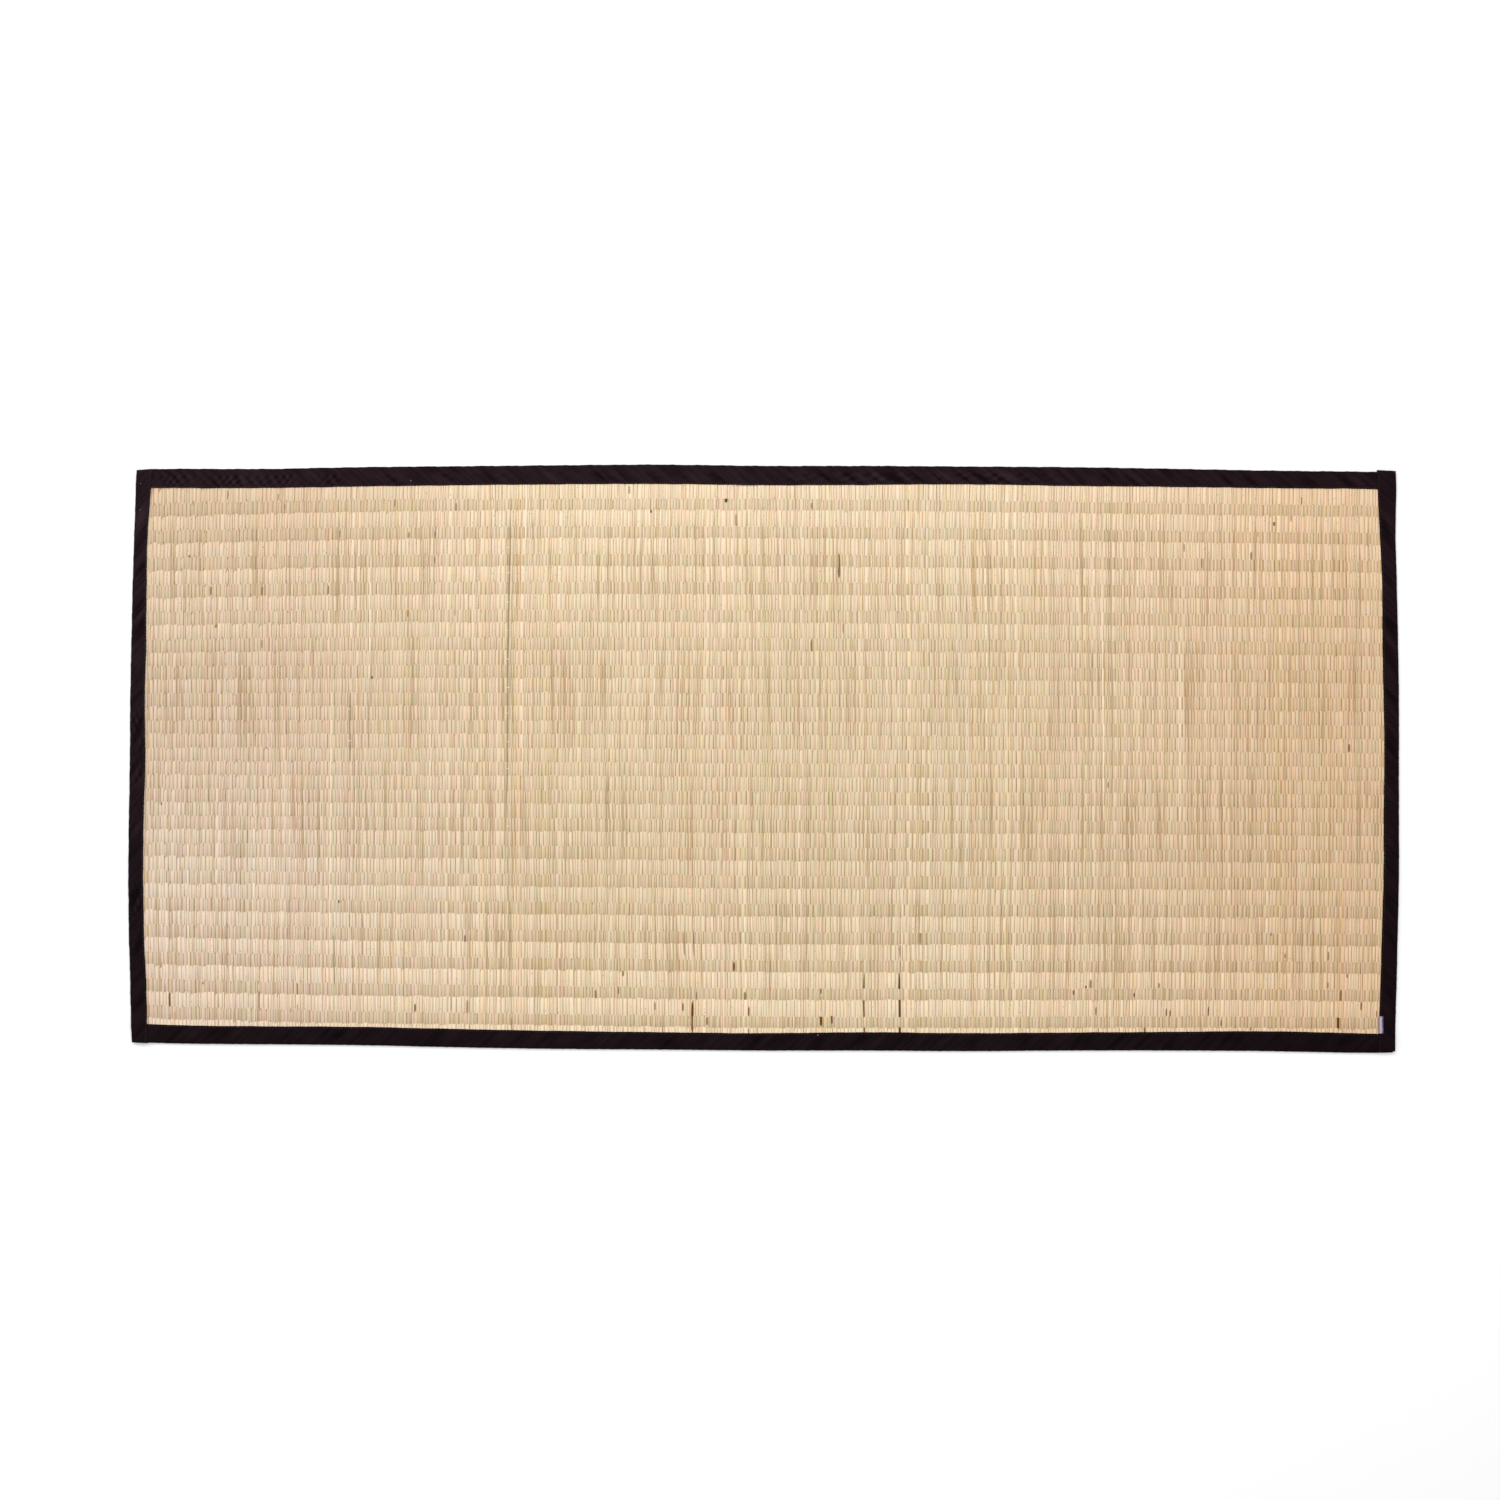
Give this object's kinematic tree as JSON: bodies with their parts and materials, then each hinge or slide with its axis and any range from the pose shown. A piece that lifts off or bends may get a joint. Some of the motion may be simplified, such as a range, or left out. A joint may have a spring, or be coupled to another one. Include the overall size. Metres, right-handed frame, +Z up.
{
  "type": "tatami mat",
  "caption": "Flat woven rush floor mat, a little uneven in outline, with a dark cloth binding folded over and sewn along every side and a small bare tab at a corner.",
  "frame": {"origin": "the middle of the mat's bounding box on the floor, z = 0 being the underside", "axes": "+X along the long side, +Y across towards the edge that is uppermost in the view from above, +Z up out of the woven face"},
  "size_m": [2.007, 0.9286, 0.0076],
  "materials": {
    "straw": "dry woven rush straw, satin",
    "binding_cloth": "matt black cotton tape",
    "label_cloth": "matt woven lilac tape"
  },
  "bodies": {
    "root": {"rush_panel": "straw", "binding_top": "binding_cloth", "binding_bottom": "binding_cloth", "binding_left": "binding_cloth", "binding_right": "binding_cloth", "side_label": "label_cloth"}
  },
  "joints": []
}
